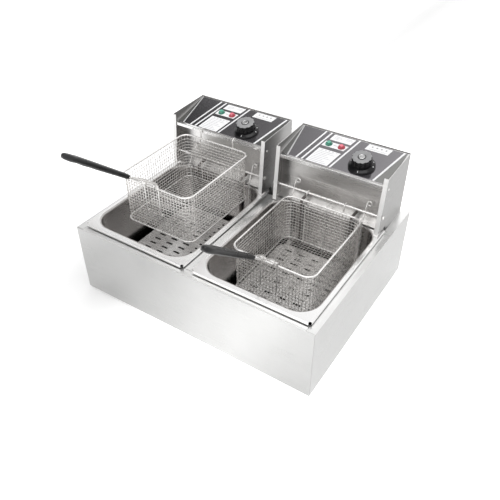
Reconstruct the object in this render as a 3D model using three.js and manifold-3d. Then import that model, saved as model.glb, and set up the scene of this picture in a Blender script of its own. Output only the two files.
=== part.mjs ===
// Countertop electric deep fryer with two oil tanks, two lift-off control heads and two frying baskets.
// Millimetres, +Z up, +Y to the back, +X to the right. While it is built, Y = 0 is the casing's front face
// and Z = 0 is the worktop; the last lines move the origin to the middle of the bounding box, on the worktop.
import * as THREE from "three";
import { mergeVertices } from "three/addons/utils/BufferGeometryUtils.js";
import Module from "manifold-3d";

const wasm = await Module();
wasm.setup();

// ---------------------------------------------------------------- driving dimensions

const GAP = 0.3; // between pieces that touch
const SHEET = 0.8; // steel sheet

// casing
const WIDTH = 570;
const DEPTH = 440;
const FOOT = 8; // the casing's underside above the worktop
const LEDGE_Z = FOOT + 165; // top of the casing walls
const LEDGE = 18; // width of the walls' inward top fold
const BAY_Y = 330; // behind this line the casing is open for the control heads
const REAR_WALL_Z = 118; // top of the low rear wall
const FOOT_R = 15;
const FOOT_INSET = 42;

// oil tanks
const UNIT_X = 140; // a unit's middle, left or right of the casing's middle
const FLANGE_Z = LEDGE_Z + 8.5; // top of the tank flange
const FLANGE_HALF = 130;
const FLANGE_FRONT = 12;
const FLANGE_REAR = 337;
const NOTCH = 5; // square relief at each flange corner
const MOUTH_HALF = 119.5;
const MOUTH_FRONT = 25.5;
const MOUTH_REAR = 322;
const MOUTH_R = 42;
const TANK_DEPTH = 148;

// control head
const HEAD_HALF = 125.5;
const HEAD_REAR = 431;
const HEAD_BOTTOM = FLANGE_Z + 1;
const BOX_BOTTOM = 130; // underside of the lower rear box
const BOX_FRONT = 345;
const RECESS_Y = 340; // front wall behind the hanging rods
const STRIP_W = 9; // front edge fold of a side wall
const PANEL_Y = 322; // panel line: front end
const PANEL_Z = 289;
const PANEL_SLOPE = Math.atan2(23, 105);
const PANEL_FROM = 4.5; // sheet's front and back edges, measured up the slope
const PANEL_TO = 109;
const ROD = { y: 315, z: 222, r: 2.5 };
const BAR = { y0: 316, y1: 318.5, z0: 285.5, z1: 292.5 };

// places on the control panel: right of the head's middle, up the slope
const KNOB_AT = [52, 35];
const GREEN_AT = [-41, 71.5];
const RED_AT = [-11.5, 71.5];
const KNOB_H = 25;
const SKIRT_R = 28;
const GRIP_R = 20.5;
const LOBES = 12;

// heating element and baffle
const ELEMENT_R = 3.3;
const ELEMENT_Z = 52;
const LIMB_X = 60;
const LIMB_Y = 316;
const LEAD_Z = 196;
const BAFFLE_Z = 71;
const BAFFLE_HALF = 99;
const BAFFLE_FRONT = 52;
const BAFFLE_REAR = 306;
const SLOT = { w: 17, h: 5, pitchX: 34.5, pitchY: 18, columns: 5, rows: 13, y0: 70 };
const LIFT_X = 84;
const LIFT_Y = 316.3;

// frying basket, as it hangs on the lower rod
const BASKET_HALF = 89.5; // to the middle of the rim wire
const BASKET_FRONT = 89;
const BASKET_REAR = 307;
const BASKET_R = 20;
const RIM_Z = 205;
const BASKET_H = 108;
const RAISE_Y = 3; // from the lower rod to the upper bar
const RAISE_Z = BAR.z1 - (ROD.z + ROD.r);
const HOOK_X = 44;
const HOOK_R = 1.4;

// basket handle
const PIVOT = { y: 85.6, up: 9, r: 1.8 };
const HANDLE_ANGLE = THREE.MathUtils.degToRad(39);
const EYE_R = 4.3;
const LEG_X = 12;
const GRIP_X = 7;
const GRIP_FROM = 76;
const GRIP_TO = 246;

// ---------------------------------------------------------------- materials

const paint = (name, color, roughness, metalness) =>
  new THREE.MeshStandardMaterial({ name, color, roughness, metalness });

const STEEL = paint("brushed_steel", 0xd4d3cf, 0.34, 1);
const TANK_STEEL = paint("tank_steel", 0xcbc8c3, 0.3, 1);
const WIRE = paint("wire", 0xd8d0cc, 0.25, 1);
const OVERLAY = paint("overlay", 0x4b484b, 0.5, 0);
const BLACK = paint("black_plastic", 0x17161a, 0.35, 0);
const GRIP = paint("grip", 0x3b3b3c, 0.55, 0);
const CERAMIC = paint("ceramic", 0xe4dccb, 0.6, 0);
const GREEN = paint("green_lens", 0x2f8f6f, 0.15, 0);
const RED = paint("red_lens", 0xc2363a, 0.15, 0);
const RUBBER = paint("rubber", 0x222222, 0.8, 0);

// ---------------------------------------------------------------- geometry helpers

// A closed geometry as a manifold solid, with only its positions kept.
function solid(geometry) {
  const bare = geometry.clone();
  bare.deleteAttribute("normal");
  bare.deleteAttribute("uv");
  const merged = mergeVertices(bare, 1e-4);
  return new wasm.Manifold(
    new wasm.Mesh({
      numProp: 3,
      vertProperties: new Float32Array(merged.attributes.position.array),
      triVerts: new Uint32Array(merged.index.array),
    }),
  );
}

function geometryOf(manifold) {
  const mesh = manifold.getMesh();
  const geometry = new THREE.BufferGeometry();
  geometry.setAttribute("position", new THREE.BufferAttribute(mesh.vertProperties, 3));
  geometry.setIndex(new THREE.BufferAttribute(mesh.triVerts, 1));
  geometry.computeVertexNormals();
  return geometry;
}

const join = (...parts) => geometryOf(parts.map(solid).reduce((a, b) => a.add(b)));
const cut = (body, ...tools) => geometryOf(tools.map(solid).reduce((a, b) => a.subtract(b), solid(body)));

function box(x0, x1, y0, y1, z0, z1) {
  return new THREE.BoxGeometry(x1 - x0, y1 - y0, z1 - z0).translate(
    (x0 + x1) / 2,
    (y0 + y1) / 2,
    (z0 + z1) / 2,
  );
}

// A cylinder between two heights of one axis, centred on the other two coordinates.
function cylinder(axis, radius, from, to, centre, sides = 20) {
  const geometry = new THREE.CylinderGeometry(radius, radius, to - from, sides);
  if (axis === "x") geometry.rotateZ(Math.PI / 2);
  if (axis === "z") geometry.rotateX(Math.PI / 2);
  const middle = (from + to) / 2;
  const at = {
    x: [middle, centre[0], centre[1]],
    y: [centre[0], middle, centre[1]],
    z: [centre[0], centre[1], middle],
  }[axis];
  return geometry.translate(...at);
}

const polygon = (points) => new THREE.Shape(points.map(([x, y]) => new THREE.Vector2(x, y)));

// An outline in X and Y, raised from z0 to z1.
function plate(shape, z0, z1, curveSegments = 6) {
  const geometry = new THREE.ExtrudeGeometry(shape, {
    depth: z1 - z0,
    bevelEnabled: false,
    curveSegments,
  });
  return geometry.translate(0, 0, z0);
}

// An outline in Y and Z, drawn out along X from x0 to x1.
function bar(points, x0, x1) {
  const geometry = plate(polygon(points), x0, x1);
  const cycle = new THREE.Matrix4().set(0, 0, 1, 0, 1, 0, 0, 0, 0, 1, 0, 0, 0, 0, 0, 1);
  return geometry.applyMatrix4(cycle);
}

function roundedRect(half, y0, y1, radius, Kind = THREE.Shape) {
  const shape = new Kind();
  const quarter = Math.PI / 2;
  shape.moveTo(half, y0 + radius);
  shape.lineTo(half, y1 - radius);
  shape.absarc(half - radius, y1 - radius, radius, 0, quarter);
  shape.lineTo(radius - half, y1);
  shape.absarc(radius - half, y1 - radius, radius, quarter, 2 * quarter);
  shape.lineTo(-half, y0 + radius);
  shape.absarc(radius - half, y0 + radius, radius, 2 * quarter, 3 * quarter);
  shape.lineTo(half - radius, y0);
  shape.absarc(half - radius, y0 + radius, radius, 3 * quarter, 4 * quarter);
  return shape;
}

// A frame of wire or strip: one rounded rectangle with a smaller one cut out of it.
function ring(half, y0, y1, radius, inset, z0, z1) {
  const shape = roundedRect(half, y0, y1, radius);
  shape.holes.push(roundedRect(half - inset, y0 + inset, y1 - inset, radius - inset, THREE.Path));
  return plate(shape, z0, z1);
}

// A skin through rings of equally many points, closed by a flat cap at each end.
function loft(rings) {
  const count = rings[0].length;
  const positions = rings.flat().flatMap((p) => [p.x, p.y, p.z]);
  const index = [];
  for (let r = 0; r + 1 < rings.length; r++)
    for (let i = 0; i < count; i++) {
      const a = r * count + i;
      const b = r * count + ((i + 1) % count);
      index.push(a, b, b + count, a, b + count, a + count);
    }
  const last = (rings.length - 1) * count;
  for (let i = 1; i + 1 < count; i++) {
    index.push(0, i + 1, i);
    index.push(last, last + i, last + i + 1);
  }
  const geometry = new THREE.BufferGeometry();
  geometry.setAttribute("position", new THREE.BufferAttribute(new Float32Array(positions), 3));
  geometry.setIndex(index);
  return geometry;
}

// The middle line of a bent wire, with one step for each of its points.
class WirePath extends THREE.Curve {
  constructor(points) {
    super();
    this.points = points;
  }
  getPointAt(u) {
    return this.points[Math.round(u * (this.points.length - 1))].clone();
  }
  getTangentAt(u) {
    const i = Math.round(u * (this.points.length - 1));
    const before = this.points[Math.max(i - 1, 0)];
    const after = this.points[Math.min(i + 1, this.points.length - 1)];
    return after.clone().sub(before).normalize();
  }
}

// Rounds each inner corner of a line of points with an arc.
function bends(corners, radius, steps = 4) {
  const points = [corners[0].clone()];
  for (let i = 1; i + 1 < corners.length; i++) {
    const into = corners[i].clone().sub(corners[i - 1]).normalize();
    const out = corners[i + 1].clone().sub(corners[i]).normalize();
    const turn = into.angleTo(out);
    if (turn < 0.02) continue;
    const reach = radius * Math.tan(turn / 2);
    const start = corners[i].clone().addScaledVector(into, -reach);
    const side = out.clone().addScaledVector(into, -out.dot(into)).normalize();
    const centre = start.clone().addScaledVector(side, radius);
    for (let k = 0; k <= steps; k++) {
      const angle = (turn * k) / steps;
      points.push(
        centre
          .clone()
          .addScaledVector(side, -radius * Math.cos(angle))
          .addScaledVector(into, radius * Math.sin(angle)),
      );
    }
  }
  points.push(corners[corners.length - 1].clone());
  return points;
}

function tube(points, radius, sides = 8) {
  const section = new THREE.Shape();
  for (let i = 0; i < sides; i++) {
    const angle = (2 * Math.PI * i) / sides;
    const x = radius * Math.cos(angle);
    const y = radius * Math.sin(angle);
    if (i) section.lineTo(x, y);
    else section.moveTo(x, y);
  }
  return new THREE.ExtrudeGeometry(section, {
    steps: points.length - 1,
    extrudePath: new WirePath(points),
    bevelEnabled: false,
  });
}

const at = (x, y, z) => new THREE.Vector3(x, y, z);

// A solid of revolution about +Z from [radius, height] pairs that go up the outside.
function turned(profile, segments = 32) {
  const points = profile.map(([r, h]) => new THREE.Vector2(r, h));
  return new THREE.LatheGeometry(points, segments).rotateX(Math.PI / 2);
}

function add(group, name, geometry, material) {
  const mesh = new THREE.Mesh(geometry, material);
  mesh.name = name;
  group.add(mesh);
  return mesh;
}

// ---------------------------------------------------------------- casing

function wallWithLedge(side) {
  const outer = (side * WIDTH) / 2;
  const inner = outer - side * SHEET;
  const fold = outer - side * LEDGE;
  const [a, b] = [Math.min(outer, inner), Math.max(outer, inner)];
  const [c, d] = [Math.min(outer, fold), Math.max(outer, fold)];
  return join(
    box(a, b, SHEET + GAP, DEPTH, FOOT, LEDGE_Z),
    box(c, d, SHEET + GAP, BAY_Y, LEDGE_Z - SHEET, LEDGE_Z),
  );
}

function frontPanel() {
  const half = WIDTH / 2;
  const fold = half - LEDGE - GAP;
  return join(
    box(-half, half, 0, SHEET, FOOT, LEDGE_Z),
    box(-fold, fold, 0, LEDGE, LEDGE_Z - SHEET, LEDGE_Z),
  );
}

function rearPanel() {
  const half = WIDTH / 2 - SHEET - GAP;
  return join(
    box(-half, half, DEPTH - SHEET, DEPTH, FOOT + SHEET + GAP, REAR_WALL_Z),
    box(-half, half, DEPTH - 14, DEPTH, REAR_WALL_Z - SHEET, REAR_WALL_Z),
  );
}

// The rail under the rear edge of both tank flanges.
function rearRail() {
  const half = WIDTH / 2 - LEDGE - GAP;
  const front = MOUTH_REAR + 2;
  return join(
    box(-half, half, front, BAY_Y, LEDGE_Z - SHEET, LEDGE_Z),
    box(-half, half, BAY_Y - SHEET, BAY_Y, LEDGE_Z - 22, LEDGE_Z),
  );
}

function centreDivider() {
  const half = UNIT_X - MOUTH_HALF - 2.5;
  const front = LEDGE + GAP;
  const rear = MOUTH_REAR + 2 - GAP;
  return join(
    box(-half, half, front, rear, LEDGE_Z - SHEET, LEDGE_Z),
    box(-half, SHEET - half, front, rear, LEDGE_Z - 22, LEDGE_Z),
    box(half - SHEET, half, front, rear, LEDGE_Z - 22, LEDGE_Z),
  );
}

function basePlate() {
  const half = WIDTH / 2 - SHEET - GAP;
  return box(-half, half, SHEET + GAP, DEPTH, FOOT, FOOT + SHEET);
}

function foot() {
  const top = FOOT - GAP;
  return turned([[0, 0], [FOOT_R - 2, 0], [FOOT_R, 1.5], [FOOT_R - 1.5, top], [0, top]], 24);
}

function buildCasing() {
  const group = new THREE.Group();
  add(group, "front_panel", frontPanel(), STEEL);
  add(group, "left_panel", wallWithLedge(-1), STEEL);
  add(group, "right_panel", wallWithLedge(1), STEEL);
  add(group, "rear_panel", rearPanel(), STEEL);
  add(group, "base_plate", basePlate(), STEEL);
  add(group, "rear_rail", rearRail(), STEEL);
  add(group, "centre_divider", centreDivider(), STEEL);
  const footX = WIDTH / 2 - FOOT_INSET;
  for (const [name, x, y] of [
    ["front_left_foot", -footX, FOOT_INSET],
    ["front_right_foot", footX, FOOT_INSET],
    ["rear_left_foot", -footX, DEPTH - FOOT_INSET],
    ["rear_right_foot", footX, DEPTH - FOOT_INSET],
  ])
    add(group, name, foot(), RUBBER).position.set(x, y, 0);
  return group;
}

// ---------------------------------------------------------------- oil tank

// One ring of the drawn pan: the mouth's outline grown by `grow`, at height z.
function panRing(grow, z) {
  const shape = roundedRect(MOUTH_HALF + grow, MOUTH_FRONT - grow, MOUTH_REAR + grow, MOUTH_R + grow);
  return shape
    .extractPoints(7)
    .shape.slice(0, -1)
    .map((p) => at(p.x, p.y, z));
}

function oilTank() {
  const bottom = FLANGE_Z - TANK_DEPTH;
  const outside = [
    [-13, bottom - SHEET],
    [-4, bottom + 2],
    [-0.3, bottom + 11],
    [SHEET, FLANGE_Z - 4],
    [2, FLANGE_Z - 2],
    [4, FLANGE_Z - SHEET],
  ];
  const inside = [
    [4, FLANGE_Z],
    [1.2, FLANGE_Z - 1.2],
    [0, FLANGE_Z - 4],
    [-1.5, bottom + 12],
    [-5, bottom + 3.5],
    [-13.5, bottom],
  ];
  const pan = loft([...outside, ...inside].map(([grow, z]) => panRing(grow, z)));
  const [h, f, r, n] = [FLANGE_HALF, FLANGE_FRONT, FLANGE_REAR, NOTCH];
  const flange = polygon([
    [n - h, f], [h - n, f], [h - n, f + n], [h, f + n], [h, r - n], [h - n, r - n],
    [h - n, r], [n - h, r], [n - h, r - n], [-h, r - n], [-h, f + n], [n - h, f + n],
  ]);
  const lap = 3.5; // the flange sheet reaches this far over the pan's rolled edge
  flange.holes.push(
    roundedRect(MOUTH_HALF + lap, MOUTH_FRONT - lap, MOUTH_REAR + lap, MOUTH_R + lap, THREE.Path),
  );
  const skirtZ = LEDGE_Z + 0.8;
  return join(
    pan,
    plate(flange, FLANGE_Z - SHEET, FLANGE_Z, 7),
    box(n - h, h - n, f, f + SHEET, skirtZ, FLANGE_Z),
    box(n - h, h - n, r - SHEET, r, skirtZ, FLANGE_Z),
    box(-h, SHEET - h, f + n, r - n, skirtZ, FLANGE_Z),
    box(h - SHEET, h, f + n, r - n, skirtZ, FLANGE_Z),
  );
}

// ---------------------------------------------------------------- control head

const WALL_TOP = { front: [316, 310], rear: [HEAD_REAR, 314.5] };
const WALL_FOOT = [304.5, HEAD_BOTTOM + 1.5];
const RESET = { x: 112, z: 286, r: 7.5 };
const GLAND = { x: 60, z: 156, r: 9 };

function sideWall(side) {
  const outer = side * HEAD_HALF;
  const inner = outer - side * SHEET;
  const outline = [
    WALL_FOOT,
    [BOX_FRONT, WALL_FOOT[1]],
    [BOX_FRONT, BOX_BOTTOM],
    [HEAD_REAR, BOX_BOTTOM],
    WALL_TOP.rear,
    WALL_TOP.front,
  ];
  const wall = bar(outline, Math.min(outer, inner), Math.max(outer, inner));
  const [y0, z0] = WALL_FOOT;
  const [y1, z1] = WALL_TOP.front;
  const fold = outer - side * STRIP_W;
  const strip = bar(
    [[y0, z0], [y0 + SHEET, z0], [y1 + SHEET, z1], [y1, z1]],
    Math.min(outer, fold),
    Math.max(outer, fold),
  );
  return join(wall, strip);
}

// Cooling slots in the rear wall, in one row under its top edge.
function ventSlots() {
  const [count, pitch, width] = [7, 14, 5];
  return Array.from({ length: count }, (_, i) => {
    const x = (i - (count - 1) / 2) * pitch - 30;
    return box(x, x + width, HEAD_REAR - 5, HEAD_REAR + 5, 262, 296);
  });
}

function headShell() {
  const half = HEAD_HALF;
  const floorZ = WALL_FOOT[1];
  const shell = join(
    sideWall(-1),
    sideWall(1),
    box(-half, half, HEAD_REAR - SHEET, HEAD_REAR, BOX_BOTTOM, WALL_TOP.rear[1]),
    box(-half, half, RECESS_Y, RECESS_Y + SHEET, floorZ, PANEL_Z - 1),
    box(-half, half, MOUTH_REAR + 1.5, BOX_FRONT + SHEET, floorZ, floorZ + SHEET),
    box(-half, half, BOX_FRONT, BOX_FRONT + SHEET, BOX_BOTTOM, floorZ + SHEET),
    box(-half, half, BOX_FRONT, HEAD_REAR, BOX_BOTTOM, BOX_BOTTOM + SHEET),
  );
  return cut(
    shell,
    cylinder("x", ROD.r + 0.5, -half - 5, half + 5, [ROD.y, ROD.z]),
    cylinder("y", ELEMENT_R + 0.5, RECESS_Y - 5, RECESS_Y + 5, [-LIMB_X, LEAD_Z]),
    cylinder("y", ELEMENT_R + 0.5, RECESS_Y - 5, RECESS_Y + 5, [LIMB_X, LEAD_Z]),
    cylinder("y", 2, RECESS_Y - 5, RECESS_Y + 5, [0, LEAD_Z], 12),
    cylinder("y", RESET.r + 0.5, HEAD_REAR - 5, HEAD_REAR + 5, [RESET.x, RESET.z]),
    cylinder("y", GLAND.r + 0.5, HEAD_REAR - 5, HEAD_REAR + 5, [GLAND.x, GLAND.z]),
    ...ventSlots(),
  );
}

// Everything on the panel is built flat and laid on the slope by one group.
function panelGroup() {
  const group = new THREE.Group();
  group.position.set(0, PANEL_Y, PANEL_Z);
  group.rotation.x = PANEL_SLOPE;
  return group;
}

function hole(shape, [x, y], radius) {
  const path = new THREE.Path();
  path.absarc(x, y, radius, 0, 2 * Math.PI);
  shape.holes.push(path);
}

function sheetWithHoles(half, y0, y1) {
  const shape = polygon([[-half, y0], [half, y0], [half, y1], [-half, y1]]);
  hole(shape, KNOB_AT, 4);
  hole(shape, GREEN_AT, 5);
  hole(shape, RED_AT, 5);
  return shape;
}

function controlPanel() {
  const half = HEAD_HALF - SHEET - GAP;
  return join(
    plate(sheetWithHoles(half, PANEL_FROM, PANEL_TO), -SHEET, 0),
    box(-half, half, PANEL_FROM, PANEL_FROM + SHEET, -10, 0),
  );
}

function overlay() {
  return plate(sheetWithHoles(HEAD_HALF - 4, PANEL_FROM + 0.6, PANEL_TO - 1.5), GAP, GAP + 0.5);
}

// Faceted lens above the panel, shank below it.
function lamp() {
  return turned([[0, -15], [4.3, -15], [4.3, 1.1], [7.5, 1.1], [7.5, 3], [4.4, 6.6], [0, 7]], 8);
}

function knob() {
  const low = 1.4;
  const top = low + KNOB_H;
  const skirt = turned(
    [[0, low], [SKIRT_R - 0.6, low], [SKIRT_R, low + 1], [SKIRT_R, low + 3], [SKIRT_R - 1.5, low + 4.2],
     [GRIP_R + 2.2, low + 6.2], [GRIP_R - 2, low + 7], [0, low + 7]],
    36,
  );
  const outline = [];
  const count = LOBES * 5;
  for (let i = 0; i < count; i++) {
    const angle = (2 * Math.PI * i) / count;
    const radius = GRIP_R - 1 + 0.9 * Math.cos(LOBES * angle);
    outline.push([radius * Math.cos(angle), radius * Math.sin(angle)]);
  }
  const grip = new THREE.ExtrudeGeometry(polygon(outline), {
    depth: KNOB_H - 7,
    bevelThickness: 1.5,
    bevelSize: 1.2,
    bevelOffset: -1.2,
    bevelSegments: 2,
  }).translate(0, 0, low + 5.5);
  return cut(
    join(skirt, grip),
    cylinder("z", 3.4, low - 2, top + 2, [0, 0], 16),
    cylinder("z", 8.4, top - 1.4, top + 2, [0, 0], 24),
  );
}

// The thermostat's shaft, which ends in the silver disc in the knob's face.
function spindle() {
  const top = 1.4 + KNOB_H;
  return turned(
    [[0, -2.6], [3, -2.6], [3, top - 1], [7.9, top - 1], [7.9, top + 0.2], [7, top + 0.7], [0, top + 0.7]],
    24,
  );
}

function thermostat() {
  return join(box(-17, 17, -13, 21, -26, -4), cylinder("z", 6, -5, -3, [0, 0], 16));
}

function lowerRod() {
  const end = HEAD_HALF + 0.4;
  const head = 2.2;
  return join(
    cylinder("x", ROD.r, -end - 1, end + 1, [ROD.y, ROD.z], 16),
    cylinder("x", 4.2, end, end + head, [ROD.y, ROD.z], 16),
    cylinder("x", 4.2, -end - head, -end, [ROD.y, ROD.z], 16),
  );
}

function upperBar() {
  const half = HEAD_HALF - SHEET - GAP;
  const { y0, y1, z0, z1 } = BAR;
  const round = 0.8;
  return bar(
    [[y0, z0], [y1, z0], [y1, z1 - round], [y1 - round, z1], [y0 + round, z1], [y0, z1 - round]],
    -half,
    half,
  );
}

function terminalBlock() {
  const z = BOX_BOTTOM + SHEET + GAP;
  const body = box(-34, 34, 374, 396, z, z + 14);
  const slots = [-22, -11, 0, 11, 22].map((x) => box(x - 3, x + 3, 370, 400, z + 8, z + 20));
  return cut(body, ...slots);
}

// High-limit cut-out behind the rear wall, worked by the reset button.
function thermalCutout() {
  return join(
    box(RESET.x - 11, RESET.x + 11, 396, 420, RESET.z - 13, RESET.z + 13),
    cylinder("y", 4, 419, 423.5, [RESET.x, RESET.z], 12),
  );
}

function resetButton() {
  const face = HEAD_REAR + 14;
  return join(
    cylinder("y", RESET.r, HEAD_REAR - 3.2, face - 1.5, [RESET.x, RESET.z]),
    cylinder("y", RESET.r - 1.5, face - 2, face, [RESET.x, RESET.z]),
  );
}

function cableGland() {
  const { x, z, r } = GLAND;
  return cut(
    join(
      cylinder("y", r, HEAD_REAR - 14, HEAD_REAR + 10, [x, z]),
      cylinder("y", r + 4, HEAD_REAR + GAP, HEAD_REAR + 6, [x, z], 6),
      cylinder("y", r + 4, HEAD_REAR - 7, HEAD_REAR - SHEET - GAP, [x, z], 6),
    ),
    cylinder("y", 4.5, HEAD_REAR - 20, HEAD_REAR + 20, [x, z], 14),
  );
}

// ---------------------------------------------------------------- parts in the oil

function heatingElement() {
  const [x, front, rear] = [LIMB_X, 68, 268];
  const run = (x * 2) / 3;
  const corners = [
    at(-x, RECESS_Y + 14, LEAD_Z), at(-x, LIMB_Y, LEAD_Z), at(-x, LIMB_Y, ELEMENT_Z), at(-x, front, ELEMENT_Z),
    at(run - x, front, ELEMENT_Z), at(run - x, rear, ELEMENT_Z), at(x - run, rear, ELEMENT_Z),
    at(x - run, front, ELEMENT_Z), at(x, front, ELEMENT_Z), at(x, LIMB_Y, ELEMENT_Z), at(x, LIMB_Y, LEAD_Z),
    at(x, RECESS_Y + 14, LEAD_Z),
  ];
  return tube(bends(corners, 12, 5), ELEMENT_R, 8);
}

// Capillary from the thermostat with the sensing bulb lying between the element's runs.
function thermostatProbe() {
  const corners = [at(0, RECESS_Y + 16, LEAD_Z), at(0, LIMB_Y, LEAD_Z), at(0, LIMB_Y, 60), at(0, 286, 60)];
  return join(tube(bends(corners, 8, 4), 1.2, 6), cylinder("y", 3, 205, 288, [0, 60], 12));
}

function bafflePlate() {
  const sheet = plate(roundedRect(BAFFLE_HALF, BAFFLE_FRONT, BAFFLE_REAR, 24), BAFFLE_Z, BAFFLE_Z + SHEET);
  const ear = (side) => {
    const [a, b] = [side * (LIFT_X - 7), side * (LIFT_X + 3)];
    return box(Math.min(a, b), Math.max(a, b), BAFFLE_REAR - 24, LIFT_Y + 3, BAFFLE_Z, BAFFLE_Z + SHEET);
  };
  const holes = [-1, 1].map((side) =>
    cylinder("z", 1.9, BAFFLE_Z - 5, BAFFLE_Z + 5, [side * LIFT_X, LIFT_Y], 10),
  );
  const [w, h] = [SLOT.w / 2, SLOT.h / 2];
  for (let row = 0; row < SLOT.rows; row++)
    for (let column = 0; column < SLOT.columns; column++) {
      const x = (column - (SLOT.columns - 1) / 2) * SLOT.pitchX;
      const y = SLOT.y0 + row * SLOT.pitchY;
      holes.push(box(x - w, x + w, y - h, y + h, BAFFLE_Z - 5, BAFFLE_Z + 5));
    }
  return cut(join(sheet, ear(-1), ear(1)), ...holes);
}

// Wire that lifts the baffle: up the tank's rear wall, then back into the head's recess, ending in an eye.
function liftWire(side) {
  const x = side * LIFT_X;
  const top = at(x, 333.5, 231);
  const eye = 5;
  const points = bends([at(x, LIFT_Y, BAFFLE_Z - 3), at(x, LIFT_Y, 194), top], 10, 3);
  for (let k = 1; k <= 8; k++) {
    const angle = (k * 300 * Math.PI) / (8 * 180);
    points.push(at(x + eye - eye * Math.cos(angle), top.y + 1, top.z + eye * Math.sin(angle)));
  }
  const collar = cylinder("z", 3.4, BAFFLE_Z + SHEET + GAP, BAFFLE_Z + SHEET + 2.5, [x, LIFT_Y], 10);
  return join(tube(points, 1.5, 6), collar);
}

// ---------------------------------------------------------------- basket and handle

// A wire ring round the basket at height z.
function wireRing(half, wire, z) {
  const r = wire / 2;
  const grow = half + r - BASKET_HALF;
  return ring(half + r, BASKET_FRONT - grow, BASKET_REAR + grow, BASKET_R + grow, wire, z - r, z + r);
}

// The mesh tub, as one thin sheet, with the thick wire round its bottom edge.
function basketTub() {
  const wall = 1;
  const bottom = RIM_Z - BASKET_H;
  const body = (grow, z0, z1) =>
    plate(
      roundedRect(BASKET_HALF + grow, BASKET_FRONT - grow, BASKET_REAR + grow, BASKET_R + grow),
      z0,
      z1,
      3,
    );
  return cut(
    join(body(-2.3, bottom, RIM_Z + 1), wireRing(BASKET_HALF - 1, 3.4, bottom)),
    body(-2.3 - wall, bottom + wall, RIM_Z + 10),
  );
}

function hangingHook(x) {
  const top = ROD.z + ROD.r + 0.4 + HOOK_R;
  const [front, rear] = [309.4, 321.3];
  const corners = [at(x, front, RIM_Z - 1), at(x, front, top), at(x, rear, top), at(x, rear, 216)];
  return tube(bends(corners, (rear - front) / 2 - 0.01, 6), HOOK_R, 6);
}

// The welded frame: rim, two front uprights with the handle's pivot rod, two hanging hooks.
function basketFrame() {
  const pivotZ = RIM_Z + PIVOT.up;
  const uprightX = 18;
  const foot = RIM_Z - 62;
  const upright = (x) =>
    tube(bends([at(x, PIVOT.y, pivotZ + 1), at(x, PIVOT.y, foot), at(x, BASKET_FRONT + 1.9, foot)], 3, 3), 1.7, 8);
  return join(
    wireRing(BASKET_HALF, 4, RIM_Z),
    upright(-uprightX),
    upright(uprightX),
    cylinder("x", PIVOT.r, -uprightX, uprightX, [PIVOT.y, pivotZ], 12),
    hangingHook(-HOOK_X),
    hangingHook(HOOK_X),
  );
}

// Along the handle from its pivot: out and up at the handle's angle.
function alongHandle(x, distance, lift = 0) {
  const c = Math.cos(HANDLE_ANGLE);
  const s = Math.sin(HANDLE_ANGLE);
  return at(x, PIVOT.y - distance * c + lift * s, RIM_Z + PIVOT.up + distance * s + lift * c);
}

// One leg's eye: three quarters of a turn round the pivot rod, ending tangent to the handle.
function eyePoints(x) {
  const points = [];
  const steps = 9;
  for (let k = 0; k <= steps; k++) {
    const angle = ((k - steps) * 270 * Math.PI) / (steps * 180);
    points.push(alongHandle(x, EYE_R * Math.sin(angle), EYE_R * Math.cos(angle)));
  }
  return points;
}

function handleWire() {
  const tip = GRIP_TO - 26;
  const left = [...eyePoints(-LEG_X), alongHandle(-LEG_X, 12, EYE_R), alongHandle(-GRIP_X, 60)];
  const right = [...eyePoints(LEG_X), alongHandle(LEG_X, 12, EYE_R), alongHandle(GRIP_X, 60)];
  const turn = [];
  for (let k = 0; k <= 8; k++) {
    const angle = (Math.PI * k) / 8;
    turn.push(alongHandle(-GRIP_X * Math.cos(angle), tip + GRIP_X * Math.sin(angle)));
  }
  return tube([...left, ...turn, ...right.reverse()], 1.8, 8);
}

// Moulded sleeve over the wire: a flattened oval that swells towards its rounded outer end.
function handleGrip() {
  const count = 20;
  const stations = [
    [0, 8.2, 5.2], [2, 9.6, 6.2], [30, 10, 6.4], [90, 10.6, 6.6], [128, 11.6, 7.2],
    [150, 11.8, 7.4], [162, 10.4, 6.6], [168, 7, 4.6], [170, 3, 2],
  ];
  const rings = stations.map(([d, w, h]) => {
    const points = [];
    for (let i = 0; i < count; i++) {
      const angle = (2 * Math.PI * i) / count;
      const [c, s] = [Math.cos(angle), Math.sin(angle)];
      const x = w * Math.sign(c) * Math.abs(c) ** 0.8;
      const y = h * Math.sign(s) * Math.abs(s) ** 0.8;
      points.push(alongHandle(x, GRIP_FROM + d, y));
    }
    return points;
  });
  const slot = box(-GRIP_X - 2.3, GRIP_X + 2.3, -(GRIP_TO - 14), -(GRIP_FROM - 5), -2.2, 2.2);
  slot.rotateX(-HANDLE_ANGLE).translate(0, PIVOT.y, RIM_Z + PIVOT.up);
  return cut(loft(rings), slot);
}

// ---------------------------------------------------------------- one frying unit

const tankShape = oilTank();
const shellShape = headShell();
const basketShapes = { tub: basketTub(), frame: basketFrame(), wire: handleWire(), grip: handleGrip() };

function buildPanel(prefix) {
  const panel = panelGroup();
  const put = (name, geometry, material, [x, y] = [0, 0]) =>
    add(panel, `${prefix}_${name}`, geometry, material).position.set(x, y, 0);
  put("control_panel", controlPanel(), STEEL);
  put("panel_overlay", overlay(), OVERLAY);
  put("green_lamp", lamp(), GREEN, GREEN_AT);
  put("red_lamp", lamp(), RED, RED_AT);
  put("knob", knob(), BLACK, KNOB_AT);
  put("thermostat_spindle", spindle(), STEEL, KNOB_AT);
  put("thermostat", thermostat(), CERAMIC, KNOB_AT);
  return panel;
}

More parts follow.
